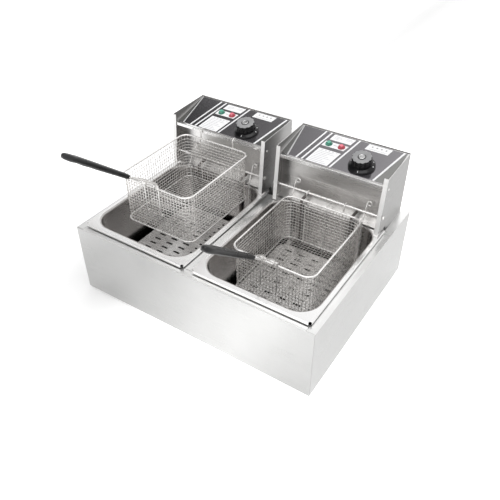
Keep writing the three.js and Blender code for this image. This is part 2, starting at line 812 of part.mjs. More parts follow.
function buildHead(prefix) {
  const head = new THREE.Group();
  const put = (name, geometry, material) => add(head, `${prefix}_${name}`, geometry, material);
  put("head_shell", shellShape, STEEL);
  put("lower_rod", lowerRod(), WIRE);
  put("upper_bar", upperBar(), STEEL);
  put("terminal_block", terminalBlock(), CERAMIC);
  put("thermal_cutout", thermalCutout(), CERAMIC);
  put("reset_button", resetButton(), BLACK);
  put("cable_gland", cableGland(), BLACK);
  put("heating_element", heatingElement(), WIRE);
  put("thermostat_probe", thermostatProbe(), WIRE);
  put("baffle_plate", bafflePlate(), STEEL);
  put("baffle_wire_a", liftWire(-1), WIRE);
  put("baffle_wire_b", liftWire(1), WIRE);
  head.add(buildPanel(prefix));
  return head;
}

function buildBasket(prefix) {
  const basket = new THREE.Group();
  add(basket, `${prefix}_basket`, basketShapes.tub, WIRE);
  add(basket, `${prefix}_basket_frame`, basketShapes.frame, WIRE);
  add(basket, `${prefix}_handle_wire`, basketShapes.wire, WIRE);
  add(basket, `${prefix}_handle_grip`, basketShapes.grip, GRIP);
  return basket;
}

function buildUnit(prefix, x, raised) {
  const unit = new THREE.Group();
  unit.position.x = x;
  add(unit, `${prefix}_oil_tank`, tankShape, TANK_STEEL);
  unit.add(buildHead(prefix));
  const basket = buildBasket(prefix);
  if (raised) basket.position.set(0, RAISE_Y, RAISE_Z);
  unit.add(basket);
  return unit;
}

// ---------------------------------------------------------------- the fryer

const fryer = new THREE.Group();
fryer.add(buildCasing());
fryer.add(buildUnit("left", -UNIT_X, true));
fryer.add(buildUnit("right", UNIT_X, false));

const bounds = new THREE.Box3().setFromObject(fryer, true);
const middle = bounds.getCenter(new THREE.Vector3());
fryer.position.set(-middle.x, -middle.y, -bounds.min.z);

export default fryer;
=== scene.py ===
"""Twin-tank countertop deep fryer, dressed for the camera. Blender 4.5.

Lengths are written in millimetres from the casing's front face (y), the fryer's middle (x) and the worktop
(z), as the CAD model is designed, and point() turns them into scene metres.
"""

import math

import bmesh
import bpy
from mathutils import Matrix, Vector


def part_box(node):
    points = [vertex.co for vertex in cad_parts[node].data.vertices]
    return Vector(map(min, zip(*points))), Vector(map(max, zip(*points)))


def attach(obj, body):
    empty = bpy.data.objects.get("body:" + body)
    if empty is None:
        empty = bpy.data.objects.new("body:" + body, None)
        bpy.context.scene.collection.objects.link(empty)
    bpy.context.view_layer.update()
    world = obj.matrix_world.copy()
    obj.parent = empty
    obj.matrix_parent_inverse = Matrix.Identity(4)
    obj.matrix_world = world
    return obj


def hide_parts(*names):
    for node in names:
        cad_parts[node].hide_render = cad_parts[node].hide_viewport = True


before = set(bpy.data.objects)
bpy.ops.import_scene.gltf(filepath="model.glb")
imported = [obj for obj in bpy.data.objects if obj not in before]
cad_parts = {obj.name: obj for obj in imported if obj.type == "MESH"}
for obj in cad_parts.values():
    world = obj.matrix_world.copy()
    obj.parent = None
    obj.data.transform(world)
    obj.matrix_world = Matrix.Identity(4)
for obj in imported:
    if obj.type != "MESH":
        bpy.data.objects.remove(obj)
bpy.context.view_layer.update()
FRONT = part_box("front_panel")[0][1]  # scene y of the casing's front face

# ---- driving dimensions, millimetres

UNIT_X = 140
TANK = {"half": 119.5, "front": 25.5, "rear": 322, "corner": 42, "top": 181.5, "bottom": 33.5}
FLANGE = {"half": 130, "front": 12, "rear": 337, "notch": 5, "skirt": 175.4}
PANEL = {"y": 322, "z": 289, "slope": math.atan2(23, 105)}
KNOB = (52, 35)
LAMPS = {"green": (-41, 71.5), "red": (-11.5, 71.5)}
HEAD_HALF = 125.5
BASKET = {"half": 89.5, "front": 89, "rear": 307, "corner": 20, "rim": 205, "deep": 108}
RAISED = Vector((0, 3, 68))  # the left basket hangs this far from where the right one does
BASKET_WIRES = {"rim": 2.0, "foot": 1.6, "upright": 1.6, "hook": 1.4, "rear": 1.3, "cross": 1.4}  # radii
FOOT_INSET = 1.2  # the bottom wire lies this far inside the rim wire
PIVOT = {"y": 85.6, "up": 9, "half": 18, "wire": 1.8}
HANDLE_ANGLE = math.radians(39)
HANDLE_WIRE = 1.75
GRIP = {"from": 76, "to": 246}
MESH_PITCH = 7.3
MESH_WIRE = 0.63
SCREW_RADIUS = 2.6
SIDE_SCREWS = {"top": (324, 284), "mid": (352, 150), "rear": (420, 150)}  # y, z
BACK_SCREWS = {"low": 142, "high": 303}  # z
BACK_SCREW_X, HEAD_REAR = 112, 431

# The printed film: half its width, its ends up the slope, and heights above the panel.
FILM_HALF, FILM_FROM, FILM_TO = 120.5, 5.4, 107
FILM_LOW, FILM_HIGH = 0.05, 0.72
INK_LOW, MARGIN_HIGH, LABEL_HIGH, LINE_HIGH = 0.70, 0.76, 0.84, 0.86
MARK_LOW, MARK_HIGH = 0.80, 0.90

UNITS = {"left": (-UNIT_X, RAISED), "right": (UNIT_X, Vector((0, 0, 0)))}

# White areas printed on the panel: corners, right of the head's middle and up the slope.
LABELS = {
    "upper_label": [(-46.5, 85.3), (2.2, 85.3), (6.8, 104.5), (-43, 104.5)],
    "lamp_strip": [(-54.5, 61.8), (-2.4, 61.8), (1.6, 78.6), (-51.4, 78.6)],
    "lower_label": [(-62.4, 6), (-12.4, 6), (-3.4, 52.2), (-54, 52.2)],
    "scale_label": [(34.2, 86.4), (85.4, 86.4), (89.6, 105.2), (37.4, 105.2)],
}


def point(x, y, z):
    """Scene position of a point given in design millimetres."""
    return Vector((x / 1000, FRONT + y / 1000, z / 1000))


# ---- material helpers


class Nodes:
    """A material's node tree, with short calls to add and join nodes."""

    def __init__(self, name):
        self.material = bpy.data.materials.new(name)
        self.material.use_nodes = True
        self.tree = self.material.node_tree
        self.shader = next(n for n in self.tree.nodes if n.type == "BSDF_PRINCIPLED")

    def add(self, kind, **settings):
        node = self.tree.nodes.new("ShaderNode" + kind)
        for key, value in settings.items():
            setattr(node, key, value)
        return node

    def link(self, out, into):
        self.tree.links.new(out, into)

    def set(self, **values):
        for key, value in values.items():
            self.shader.inputs[key.replace("_", " ")].default_value = value

    def coordinates(self, scale=(1, 1, 1)):
        """Object coordinates, in metres, stretched by scale."""
        source = self.add("TexCoord")
        mapping = self.add("Mapping")
        mapping.inputs["Scale"].default_value = scale
        self.link(source.outputs["Object"], mapping.inputs["Vector"])
        return mapping.outputs["Vector"]

    def noise(self, vector, scale, detail=3.0, rough=0.5):
        node = self.add("TexNoise")
        node.inputs["Scale"].default_value = scale
        node.inputs["Detail"].default_value = detail
        node.inputs["Roughness"].default_value = rough
        self.link(vector, node.inputs["Vector"])
        return node.outputs["Fac"]

    def ramp(self, value, low, high):
        """A colour that goes from low to high while value goes from 0.3 to 0.7."""
        node = self.add("ValToRGB")
        stops = node.color_ramp.elements
        stops[0].position, stops[1].position = 0.3, 0.7
        stops[0].color, stops[1].color = (*low, 1), (*high, 1)
        self.link(value, node.inputs["Fac"])
        return node.outputs["Color"]

    def map(self, value, low, high, start=0.3, end=0.7):
        """A number that goes from low to high while value goes from start to end."""
        node = self.add("MapRange")
        for socket, number in zip(("From Min", "From Max", "To Min", "To Max"), (start, end, low, high)):
            node.inputs[socket].default_value = number
        self.link(value, node.inputs["Value"])
        return node.outputs["Result"]

    def mix(self, factor, a, b, kind="MIX"):
        """Mixes two colours; a Mix node's colour sockets are inputs 6 and 7 and output 2."""
        node = self.add("Mix", data_type="RGBA", blend_type=kind)
        for socket, item in ((0, factor), (6, a), (7, b)):
            if isinstance(item, (int, float)):
                node.inputs[socket].default_value = item
            elif isinstance(item, tuple):
                node.inputs[socket].default_value = (*item, 1)
            else:
                self.link(item, node.inputs[socket])
        return node.outputs[2]

    def colour(self, value, low, high):
        self.link(self.ramp(value, low, high), self.shader.inputs["Base Color"])

    def roughness(self, value, low, high):
        self.link(self.map(value, low, high), self.shader.inputs["Roughness"])

    def bump(self, height, strength, distance):
        node = self.add("Bump")
        node.inputs["Strength"].default_value = strength
        node.inputs["Distance"].default_value = distance
        self.link(height, node.inputs["Height"])
        self.link(node.outputs["Normal"], self.shader.inputs["Normal"])


def paint_light_by_facing(n, colour, axes, factor):
    """Painted light and shade: multiplies a colour by factor on faces that look towards +Z ("Z"), or +Y and
    both ways of X ("XY").

    It goes by the face's own direction, so it is the same from every camera.
    """
    faces = n.add("SeparateXYZ")
    n.link(n.add("NewGeometry").outputs["Normal"], faces.inputs["Vector"])
    amount = n.add("Math", operation="MAXIMUM")
    if "X" in axes:
        sideways = n.add("Math", operation="ABSOLUTE")
        n.link(faces.outputs["X"], sideways.inputs[0])
        n.link(sideways.outputs[0], amount.inputs[1])
    n.link(faces.outputs[axes[-1]], amount.inputs[0])
    return n.mix(1.0, colour, n.map(amount.outputs[0], 1.0, factor, 0.6, 0.9), "MULTIPLY")


def brushed_steel(
    name, dark, light, rough, grain, bump=0.12, anisotropic=0.4, metallic=1.0, painted_light=None
):
    """Sheet steel: fine scratches stretched along the brushing, faint cloudy smears, soft sheen.

    The last argument, as (axes, factor), makes the faces that look along those axes lighter or darker:
    painted light and painted shade.
    """
    n = Nodes(name)
    n.set(Metallic=metallic, Anisotropic=anisotropic)
    scratches = n.noise(n.coordinates(grain), 1.0, 4.0, 0.65)
    smears = n.noise(n.coordinates((1, 1, 1)), 9.0, 3.0, 0.55)
    cloudy = n.ramp(smears, dark, light)
    lined = n.ramp(scratches, (0.93, 0.93, 0.93), (1.0, 1.0, 1.0))
    colour = n.mix(1.0, cloudy, lined, "MULTIPLY")
    # painted light and shade: faces are made lighter or darker by the way they look
    if painted_light:
        colour = paint_light_by_facing(n, colour, *painted_light)
    n.link(colour, n.shader.inputs["Base Color"])
    streaky = n.map(scratches, rough - 0.05, rough + 0.07)
    blotchy = n.map(smears, -0.03, 0.03)
    total = n.add("Math", operation="ADD")
    n.link(streaky, total.inputs[0])
    n.link(blotchy, total.inputs[1])
    n.link(total.outputs[0], n.shader.inputs["Roughness"])
    n.bump(scratches, bump, 0.00005)
    return n.material


def drawn_steel(name, dark, light, rough):
    """Deep-drawn pan: smooth and softly smeared, and painted near-black in its lower part, outside as well as
    inside: painted shade at the bottom of the deep pan.
    """
    n = Nodes(name)
    n.set(Metallic=1.0)
    where = n.coordinates()
    smears = n.noise(where, 7.0, 3.0, 0.5)
    fine = n.noise(where, 60.0, 3.0)
    split = n.add("SeparateXYZ")
    n.link(where, split.inputs["Vector"])
    fade = (0.058, 0.085)  # scene heights where the painted shade fades out
    painted_shade = n.map(split.outputs["Z"], 0.0, 1.0, *fade)
    clean = n.ramp(smears, dark, light)
    # near-black painted shade towards the pan's bottom
    n.link(n.mix(painted_shade, (0.05, 0.045, 0.04), clean), n.shader.inputs["Base Color"])
    n.roughness(fine, rough - 0.02, rough + 0.03)
    n.bump(fine, 0.02, 0.00005)
    return n.material


def bright_wire(name, dark, light, rough, metallic=1.0):
    """Nickel-plated wire: bright, with slight spots and a fine pitted skin."""
    n = Nodes(name)
    n.set(Metallic=metallic)
    spots = n.noise(n.coordinates(), 160.0, 3.0)
    n.colour(spots, dark, light)
    n.roughness(spots, rough - 0.06, rough + 0.08)
    n.bump(n.noise(n.coordinates(), 1800.0, 2.0), 0.1, 0.00005)
    return n.material


def moulded(name, dark, light, rough, grain=900.0, bump=0.25, sheen=0.5):
    """Moulded plastic: fine spark-eroded grain and a faint change of tone."""
    n = Nodes(name)
    tone = n.noise(n.coordinates(), 25.0, 2.0)
    n.colour(tone, dark, light)
    n.roughness(tone, rough - 0.05, rough + 0.05)
    n.bump(n.noise(n.coordinates(), grain, 2.0, 0.7), bump, 0.00008)
    n.set(Specular_IOR_Level=sheen)
    return n.material


def printed_film(name, dark, light, metallic):
    """Mid-grey metallic film with a fine stipple. It looks dark only where it mirrors the dark ceiling."""
    n = Nodes(name)
    n.set(Metallic=metallic, Coat_Weight=0.1, Coat_Roughness=0.3)
    stipple = n.noise(n.coordinates(), 2600.0, 2.0)
    tone = n.noise(n.coordinates(), 7.0, 2.0)
    n.colour(tone, dark, light)
    n.roughness(tone, 0.10, 0.14)
    n.bump(stipple, 0.1, 0.00003)
    return n.material


def ink(name, color):
    """Printed ink with faint specks."""
    n = Nodes(name)
    speck = n.noise(n.coordinates(), 700.0, 2.0)
    shade = tuple(c * 0.94 for c in color)
    n.colour(speck, shade, color)
    n.set(Roughness=0.45)
    return n.material


def lens(name, deep, bright, glow):
    """Clear coloured plastic that glows a little from behind."""
    n = Nodes(name)
    n.set(Roughness=0.08, IOR=1.49, Transmission_Weight=0.35, Coat_Weight=0.5, Coat_Roughness=0.05)
    swirl = n.noise(n.coordinates(), 120.0, 2.0)
    n.colour(swirl, deep, bright)
    n.set(Emission_Color=(*bright, 1), Emission_Strength=glow)
    return n.material


def rubber(name):
    """Black rubber with a little dust."""
    n = Nodes(name)
    dust = n.noise(n.coordinates(), 60.0, 4.0)
    n.colour(dust, (0.012, 0.012, 0.012), (0.03, 0.03, 0.03))
    n.roughness(dust, 0.65, 0.85)
    n.bump(n.noise(n.coordinates(), 500.0), 0.2, 0.0001)
    return n.material


def fired_ceramic(name):
    """Cream electrical ceramic with a dull grainy skin."""
    n = Nodes(name)
    grain = n.noise(n.coordinates(), 300.0, 4.0)
    n.colour(grain, (0.62, 0.57, 0.48), (0.78, 0.74, 0.66))
    n.roughness(grain, 0.5, 0.7)
    n.bump(grain, 0.2, 0.0001)
    return n.material


ACROSS = (6, 6, 1400)  # horizontal brushing on upright sheets
ALONG_X = (5, 1400, 5)  # brushing along X on level sheets

# The casing steel's upward faces are painted 1.75 times lighter: painted light from above.
STEEL = brushed_steel("casing_steel", (0.49, 0.49, 0.485), (0.54, 0.54, 0.535), 0.30, ACROSS,
                      painted_light=("Z", 1.75))
# The head steel's side and rear faces are painted darker (0.38): painted shade.
HEAD_STEEL = brushed_steel("head_steel", (0.76, 0.75, 0.74), (0.82, 0.81, 0.80), 0.30, ACROSS, 0.04, 0.0,
                           painted_light=("XY", 0.38))
PLATE_STEEL = brushed_steel("plate_steel", (0.84, 0.835, 0.83), (0.90, 0.895, 0.89), 0.19, ALONG_X,
                            0.05, 0.2, 0.85)
# A paler, less metallic copy of the head steel for the fronts of its side-wall folds: a painted highlight.
FOLD_HIGHLIGHT_STEEL = brushed_steel("fold_painted_highlight", (0.80, 0.795, 0.785), (0.88, 0.875, 0.865), 0.45, ACROSS, 0.1, 0.0, 0.45)
TANK_STEEL = drawn_steel("tank_steel", (0.46, 0.445, 0.435), (0.56, 0.545, 0.535), 0.24)
BAFFLE_STEEL = brushed_steel("baffle_steel", (0.80, 0.79, 0.78), (0.88, 0.87, 0.86), 0.24, ALONG_X,
                             0.03, 0.0, 0.75)
ELEMENT_STEEL = brushed_steel("element_steel", (0.14, 0.13, 0.12), (0.24, 0.22, 0.21), 0.45, (60, 60, 60))
WIRE = bright_wire("plated_wire", (0.80, 0.785, 0.77), (0.88, 0.865, 0.85), 0.28, 0.8)
MESH = bright_wire("mesh_wire", (0.70, 0.68, 0.665), (0.80, 0.78, 0.76), 0.28, 0.9)
SCREW = bright_wire("screw_steel", (0.62, 0.62, 0.61), (0.75, 0.75, 0.74), 0.25)
CAP_METAL = bright_wire("dial_cap_metal", (0.48, 0.48, 0.48), (0.58, 0.58, 0.58), 0.24)
FILM = printed_film("panel_film", (0.30, 0.29, 0.305), (0.33, 0.32, 0.335), 0.9)
MARGIN = printed_film("panel_margin", (0.31, 0.31, 0.30), (0.35, 0.35, 0.34), 0.95)
WHITE_INK = ink("white_ink", (0.88, 0.88, 0.89))
PALE_INK = ink("pale_ink", (0.50, 0.50, 0.50))
MARK_INK = ink("mark_ink", (0.36, 0.36, 0.37))
DIAL_FACE = moulded("dial_face", (0.24, 0.24, 0.245), (0.32, 0.32, 0.325), 0.38, 1200.0, 0.15)
BLACK = moulded("black_plastic", (0.004, 0.004, 0.0045), (0.008, 0.008, 0.009), 0.22, 1500.0, 0.08, 0.3)
GRIP_PLASTIC = moulded("grip_plastic", (0.009, 0.009, 0.0095), (0.017, 0.017, 0.0175), 0.32,
                       900.0, 0.12, 0.35)
RUBBER = rubber("foot_rubber")
CERAMIC = fired_ceramic("electrical_ceramic")
# Each lamp's second material is a paler, more glowing copy of its lens for the flat face: a painted
# highlight.
GREEN = (lens("green_lens", (0.005, 0.13, 0.08), (0.02, 0.26, 0.17), 0.12),
         lens("green_lens_face", (0.10, 0.42, 0.30), (0.20, 0.55, 0.42), 0.25))
RED = (lens("red_lens", (0.28, 0.015, 0.035), (0.50, 0.04, 0.07), 0.15),
       lens("red_lens_face", (0.70, 0.14, 0.20), (0.85, 0.26, 0.33), 0.25))


# ---- mesh helpers


def add_object(name, data):
    piece = bpy.data.objects.new(name, data)
    bpy.context.scene.collection.objects.link(piece)
    return piece


def build(name, verts, faces, material, body, slot, smooth=None):
    """A mesh piece that rides on a body; edges under smooth degrees are shaded round."""
    mesh = bpy.data.meshes.new(name)
    mesh.from_pydata(verts, [], faces)
    mesh.validate()
    mesh.materials.append(material)
    if smooth is not None:
        mesh.shade_smooth()
        mesh.set_sharp_from_angle(angle=math.radians(smooth))
    piece = add_object(name, mesh)
    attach(piece, body)
    return piece


def bevel(piece, name, width, segments=2, angle=30):
    """Rounds edges sharper than angle degrees by width in millimetres, so that they catch the light."""
    edge = piece.modifiers.new(name, "BEVEL")
    edge.width, edge.segments = width / 1000, segments
    edge.limit_method, edge.angle_limit = "ANGLE", math.radians(angle)


def tube_data(path, radius, sides, closed=False):
    """Vertices and faces of a round wire along a path of design points; the ends are capped."""
    count = len(path)
    tangents = []
    for i in range(count):
        before = path[(i - 1) % count] if closed else path[max(i - 1, 0)]
        after = path[(i + 1) % count] if closed else path[min(i + 1, count - 1)]
        tangents.append((after - before).normalized())
    normal = tangents[0].orthogonal().normalized()
    verts = []
    for i in range(count):
        if i:
            turn = tangents[i - 1].rotation_difference(tangents[i])
            normal = turn @ normal
        normal = (normal - tangents[i] * normal.dot(tangents[i])).normalized()
        side = tangents[i].cross(normal)
        for k in range(sides):
            angle = 2 * math.pi * k / sides
            at = path[i] + normal * (radius * math.cos(angle)) + side * (radius * math.sin(angle))
            verts.append(point(*at))
    faces = []
    for i in range(count if closed else count - 1):
        a, b = i * sides, (i + 1) % count * sides
        twist = 0
        if closed and i == count - 1:
            twist = min(range(sides), key=lambda s: (verts[a] - verts[b + s]).length)
        for k in range(sides):
            k2 = (k + 1) % sides
            faces.append((a + k, a + k2, b + (k2 + twist) % sides, b + (k + twist) % sides))
    if not closed:
        faces += ring_caps(count, sides)
    return verts, faces


def tubes(name, wires, material, body, slot="wire"):
    """One piece made of several wires; each wire is (path, radius, sides, closed)."""
    verts, faces = [], []
    for path, radius, sides, closed in wires:
        more, skin = tube_data(path, radius, sides, closed)
        start = len(verts)
        verts += more
        faces += [tuple(start + i for i in face) for face in skin]
    return build(name, verts, faces, material, body, slot, smooth=60)


def moved(wires, x, lift):
    """The same wires, moved to a unit's middle and to the height where its basket hangs."""
    move = Vector((x, 0, 0)) + lift
    return [([p + move for p in path], r, s, c) for path, r, s, c in wires]


def rounded_rect(half, y0, y1, radius, steps):
    """Points round a rounded rectangle in design X and Y, anticlockwise from the right side's rear end."""
    points = []
    centres = [(half - radius, y1 - radius), (radius - half, y1 - radius), (radius - half, y0 + radius),
               (half - radius, y0 + radius)]
    for quarter, (cx, cy) in enumerate(centres):
        for k in range(steps + 1):
            angle = math.pi / 2 * (quarter + k / steps)
            points.append(Vector((cx + radius * math.cos(angle), cy + radius * math.sin(angle), 0)))
    return points


def arc_bends(corners, radius, steps=6):
    """Rounds the inner corners of a line of design points."""
    path = [corners[0]]
    for before, corner, after in zip(corners, corners[1:], corners[2:]):
        into, out = (corner - before).normalized(), (after - corner).normalized()
        turn = into.angle(out)
        if turn < 0.02:
            continue
        start = corner - into * (radius * math.tan(turn / 2))
        side = (out - into * out.dot(into)).normalized()
        centre = start + side * radius
        for k in range(steps + 1):
            a = turn * k / steps
            path.append(centre - side * (radius * math.cos(a)) + into * (radius * math.sin(a)))
    return path + [corners[-1]]


def ring_sides(rings, count):
    """The faces between each ring of count vertices and the next."""
    faces = []
    for r in range(rings - 1):
        for k in range(count):
            a, b = r * count + k, r * count + (k + 1) % count
            faces.append((a, b, b + count, a + count))
    return faces


def ring_caps(rings, count):
    """The faces that close the first and the last ring."""
    last = (rings - 1) * count
    return [tuple(reversed(range(count))), tuple(range(last, last + count))]


def lathe(profile, segments, to_scene):
    """Vertices and faces of a turned shape: profile is (radius, height) pairs going up the outside."""
    verts = []
    for radius, height in profile:
        for k in range(segments):
            angle = 2 * math.pi * k / segments
            verts.append(to_scene(radius * math.cos(angle), radius * math.sin(angle), height))
    rings = len(profile)
    return verts, ring_sides(rings, segments) + ring_caps(rings, segments)


def panel_place(unit_x, centre=(0, 0)):
    """A function from a point on a head's sloping panel (right, up the slope, above it) to the scene."""
    c, s = math.cos(PANEL["slope"]), math.sin(PANEL["slope"])

    def place(px, py, lift):
        x, along = centre[0] + px, centre[1] + py
        return point(unit_x + x, PANEL["y"] + along * c - lift * s, PANEL["z"] + along * s + lift * c)

    return place


def slab(name, outline, low, high, place, material, body, slot):
    """A thin plate with a straight-sided outline: place(x, y, height) gives scene positions."""
    count = len(outline)
    verts = [place(x, y, low) for x, y in outline] + [place(x, y, high) for x, y in outline]
    return build(name, verts, ring_caps(2, count) + ring_sides(2, count), material, body, slot)


# ---- camera and light


CAMERA_TURN = (33.26, 38.57, -0.15)  # degrees: azimuth, elevation, roll
CAMERA_AT = (563.1, -623.9, 896.1)  # design millimetres
CAMERA_LENS = 41.6


def add_camera():
    """The photographer stands in front, to the fryer's right, and looks down on it."""
    azimuth, elevation, roll = (math.radians(angle) for angle in CAMERA_TURN)
    forward = Vector((
        -math.sin(azimuth) * math.cos(elevation),
        math.cos(azimuth) * math.cos(elevation),
        -math.sin(elevation),
    ))
    right = forward.cross(Vector((0, 0, 1))).normalized()
    up = right.cross(forward)
    r = math.cos(roll) * right + math.sin(roll) * up
    u = -math.sin(roll) * right + math.cos(roll) * up
    data = bpy.data.cameras.new("camera")
    data.lens = CAMERA_LENS
    data.clip_end = 50
    camera = add_object("camera", data)
    rotation = Matrix((r, u, -forward)).transposed().to_4x4()
    camera.matrix_world = Matrix.Translation(point(*CAMERA_AT)) @ rotation
    bpy.context.scene.camera = camera


def area_light(name, place, target, size, power):
    """A white rectangular lamp; places and sizes in metres, power in watts."""
    data = bpy.data.lights.new(name, "AREA")
    data.shape = "RECTANGLE"
    data.size, data.size_y = size
    data.energy = power
    light = add_object(name, data)
    light.location = place
    light.rotation_euler = (Vector(target) - Vector(place)).to_track_quat("-Z", "Y").to_euler()


def add_lights():
    area_light("key", (-0.5, -1.7, 1.9), (0, 0, 0.15), (1.4, 1.0), 6)
    area_light("top", (0.1, 0.1, 2.4), (0, 0, 0.1), (1.6, 1.2), 12)


def add_world():
    """White studio: bright walls all round, and high up a ceiling that is dark on the fryer's left."""
    world = bpy.data.worlds.new("studio")
    world.use_nodes = True
    tree = world.node_tree
    coordinates = tree.nodes.new("ShaderNodeTexCoord")
    split = tree.nodes.new("ShaderNodeSeparateXYZ")
    tree.links.new(coordinates.outputs["Generated"], split.inputs["Vector"])

    def ranged(value, from_min, from_max, to_min, to_max):
        node = tree.nodes.new("ShaderNodeMapRange")
        node.interpolation_type = "SMOOTHSTEP"
        numbers = {"From Min": from_min, "From Max": from_max, "To Min": to_min, "To Max": to_max}
        for socket, number in numbers.items():
            node.inputs[socket].default_value = number
        tree.links.new(value, node.inputs["Value"])
        return node.outputs["Result"]

    def math_node(operation, *values):
        node = tree.nodes.new("ShaderNodeMath")
        node.operation = operation
        for socket, value in zip(node.inputs, values):
            tree.links.new(value, socket)
        return node.outputs[0]

    across, depth, height = split.outputs
    steepness = math_node("SUBTRACT", height, math_node("ABSOLUTE", depth))
    walls = ranged(across, -0.85, -0.3, 1.15, 1.25)
    ceiling = ranged(across, -0.62, -0.15, 0.02, 1.0)
    high = ranged(height, 0.40, 0.52, 0.0, 1.0)
    shade = math_node("MULTIPLY", high, ranged(steepness, 0.085, 0.13, 0.0, 1.0))
    mix = tree.nodes.new("ShaderNodeMix")
    for socket, value in (("Factor", shade), ("A", walls), ("B", ceiling)):
        tree.links.new(value, mix.inputs[socket])
    background = tree.nodes["Background"]
    background.inputs["Color"].default_value = (1, 1, 1, 1)
    tree.links.new(mix.outputs["Result"], background.inputs["Strength"])
    bpy.context.scene.world = world
    bpy.context.scene.view_settings.view_transform = "Standard"


# How strongly the floor glows, between half a metre left of the middle (0) and half a metre right (1).
GLOW_AT_LEFT = 0.4
FLOOR_GLOW = [(0.03, 0.35), (0.12, 0.05), (0.16, 0.03), (0.28, 0.12), (0.47, 0.70), (0.59, 1.0),
              (0.71, 0.6), (0.85, 0.25)]


def add_floor():
    """White floor whose glow changes from left to right."""
    n = Nodes("floor_white")
    tone = n.noise(n.coordinates(), 1.5, 2.0)
    n.colour(tone, (0.90, 0.90, 0.90), (0.93, 0.93, 0.93))
    n.set(Roughness=0.7, Emission_Color=(1, 1, 1, 1))
    split = n.add("SeparateXYZ")
    n.link(n.coordinates(), split.inputs["Vector"])
    glow = n.add("ValToRGB")
    n.link(n.map(split.outputs["X"], 0.0, 1.0, -0.5, 0.5), glow.inputs["Fac"])
    for position, level in FLOOR_GLOW:
        stop = glow.color_ramp.elements.new(position)
        stop.color = (level, level, level, 1)
    glow.color_ramp.elements[0].color = (GLOW_AT_LEFT, GLOW_AT_LEFT, GLOW_AT_LEFT, 1)
    glow.color_ramp.elements.remove(glow.color_ramp.elements[-1])
    n.link(glow.outputs["Color"], n.shader.inputs["Emission Strength"])
    reach = 8  # metres
    verts = [(-reach, -reach, 0), (reach, -reach, 0), (reach, reach, 0), (-reach, reach, 0)]
    mesh = bpy.data.meshes.new("floor")
    mesh.from_pydata(verts, [], [(0, 1, 2, 3)])
    mesh.materials.append(n.material)
    floor = add_object("floor", mesh)


# ---- carried-over CAD nodes


def spread(*rows):
    """A table from name to value, written as rows of a value and the names that have it."""
    return {name: value for value, names in rows for name in names.split()}


FINISHES = spread(
    (STEEL, "front_panel left_panel right_panel rear_panel rear_rail centre_divider"),
    (PLATE_STEEL, "base_plate control_panel upper_bar"),
    (HEAD_STEEL, "head_shell"),
    (BAFFLE_STEEL, "baffle_plate"),
    (WIRE, "lower_rod thermostat_probe"),
    (CERAMIC, "thermostat terminal_block thermal_cutout"),
    (BLACK, "cable_gland reset_button"),
    (RUBBER, "front_left_foot front_right_foot rear_left_foot rear_right_foot"),
)
BEVELS = spread(  # millimetres
    (0.3, "baffle_plate"),
    (0.4, "head_shell base_plate centre_divider rear_rail"),
    (0.5, "front_panel left_panel right_panel rear_panel control_panel terminal_block"),
    (0.6, "cable_gland reset_button"),
    (0.8, "thermostat thermal_cutout"),
)


def dress_nodes():
    """Gives the CAD nodes that stay visible their finish and their rounded edges."""
    for name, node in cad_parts.items():
        plain = name.removeprefix("left_").removeprefix("right_")
        key = name if name in FINISHES else plain
        if key not in FINISHES:
            continue
        node.data.materials.clear()
        node.data.materials.append(FINISHES[key])
        if key in BEVELS:
            weld = node.modifiers.new("weld", "WELD")
            weld.merge_threshold = 0.00001
            bevel(node, "edge", BEVELS[key])


# ---- oil tank


def tank_ring(grow, z):
    """The mouth's outline grown by grow, at height z."""
    t = TANK
    half, front, rear, corner = t["half"] + grow, t["front"] - grow, t["rear"] + grow, t["corner"] + grow
    ring = rounded_rect(half, front, rear, corner, steps=18)
    return [Vector((p.x, p.y, z)) for p in ring]


def oil_tank(side, x):
    """The drawn pan, with its rolled lip, and the folded flange with a relief cut at each corner.

    Each ring is (growth of the mouth's outline, height): up the outside, over the lip and down the inside.
    """
    top, bottom = TANK["top"], TANK["bottom"]
    outside = [(-13, bottom - 1.2), (-8, bottom - 0.6), (-4, bottom + 2), (-1.6, bottom + 6),
               (-0.3, bottom + 11), (1.2, top - 4.2), (1.6, top - 2.6), (2.6, top - 1.4), (4, top - 1.0)]
    inside = [(4, top + 0.05), (2.4, top - 0.2), (1.1, top - 0.9), (0.3, top - 2.2), (0, top - 4.2),
              (-1.5, bottom + 12), (-2.3, bottom + 7.5), (-4.4, bottom + 3.8), (-8, bottom + 1.2),
              (-13.5, bottom)]
    rings = [tank_ring(grow, z) for grow, z in outside + inside]
    count = len(rings[0])
    verts = [point(p.x + x, p.y, p.z) for ring in rings for p in ring]
    faces = ring_sides(len(rings), count) + ring_caps(len(rings), count)
    pan = build(f"{side}_pan", verts, faces, TANK_STEEL, f"{side}_tank", "tank_steel", smooth=50)
    rim = flange(side, x)
    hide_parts(f"{side}_oil_tank")
    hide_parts(f"{side}_oil_tank")


